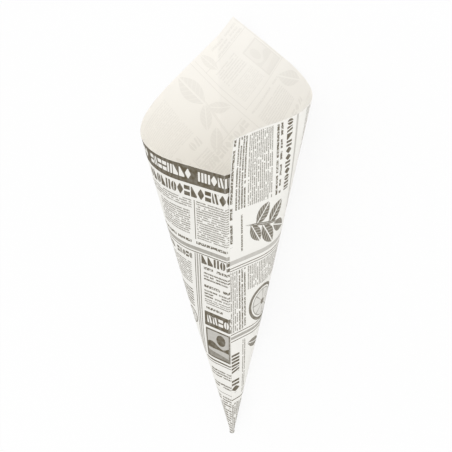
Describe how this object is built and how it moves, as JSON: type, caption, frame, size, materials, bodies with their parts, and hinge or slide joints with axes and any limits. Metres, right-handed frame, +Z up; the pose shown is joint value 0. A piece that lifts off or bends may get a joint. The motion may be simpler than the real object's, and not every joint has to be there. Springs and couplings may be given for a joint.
{
  "type": "fry cone",
  "caption": "Pointed paper cone rolled from one printed sheet with a glued lap down the front, for handing out fries or chips.",
  "frame": {"origin": "under the middle of the lying cone's box, on the surface that it lies on", "axes": "+Y runs from the tip to the mouth along the resting spot, +Z is up from the surface, +X completes the frame"},
  "size_m": [0.1178, 0.2988, 0.1002],
  "materials": {
    "printed_paper": "matt uncoated paper with faded dark print outside"
  },
  "bodies": {
    "root": {"paper_cone": "printed_paper"}
  },
  "joints": []
}
